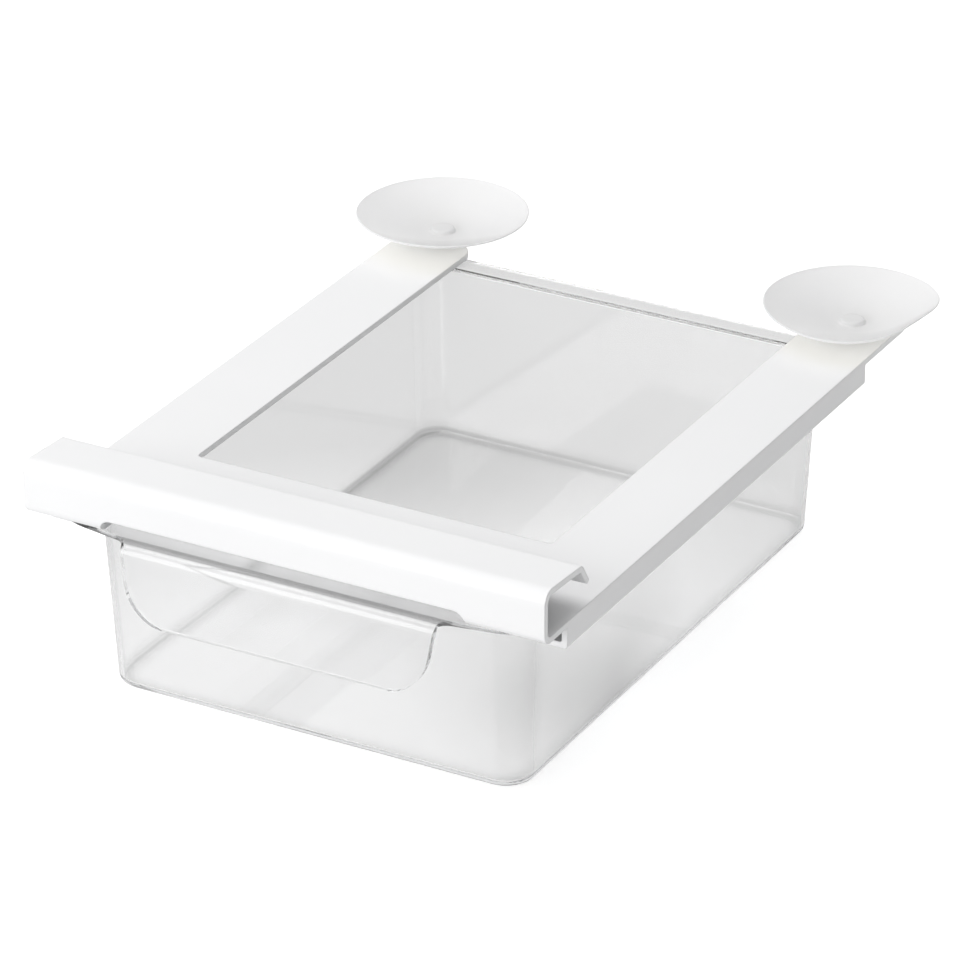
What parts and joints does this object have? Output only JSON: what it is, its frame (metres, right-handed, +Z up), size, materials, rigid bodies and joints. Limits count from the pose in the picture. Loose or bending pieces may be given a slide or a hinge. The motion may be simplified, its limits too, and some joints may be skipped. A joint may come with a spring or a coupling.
{
  "type": "under-shelf fridge drawer",
  "caption": "Clear pull-out drawer hung in a white frame that hooks over the front edge of a shelf and grips its underside with suction cups.",
  "frame": {"origin": "middle of the whole outline, on the floor plane under the drawer's underside", "axes": "+Z up, -Y towards the user (hook, pull and drawer travel), +X to the user's right"},
  "size_m": [0.2834, 0.3637, 0.107],
  "materials": {
    "white_plastic": "smooth satin moulding",
    "clear_plastic": "polished, see-through",
    "silicone": "soft satin"
  },
  "bodies": {
    "frame": {"hanger_frame": "white_plastic", "suction_cup_right": "silicone", "suction_cup_left": "silicone"},
    "drawer": {"drawer": "clear_plastic"}
  },
  "joints": [
    {"name": "drawer_slide", "type": "slide", "parent": "frame", "child": "drawer", "axis": [0, -1, 0], "range_m": [0, 0.2]}
  ]
}
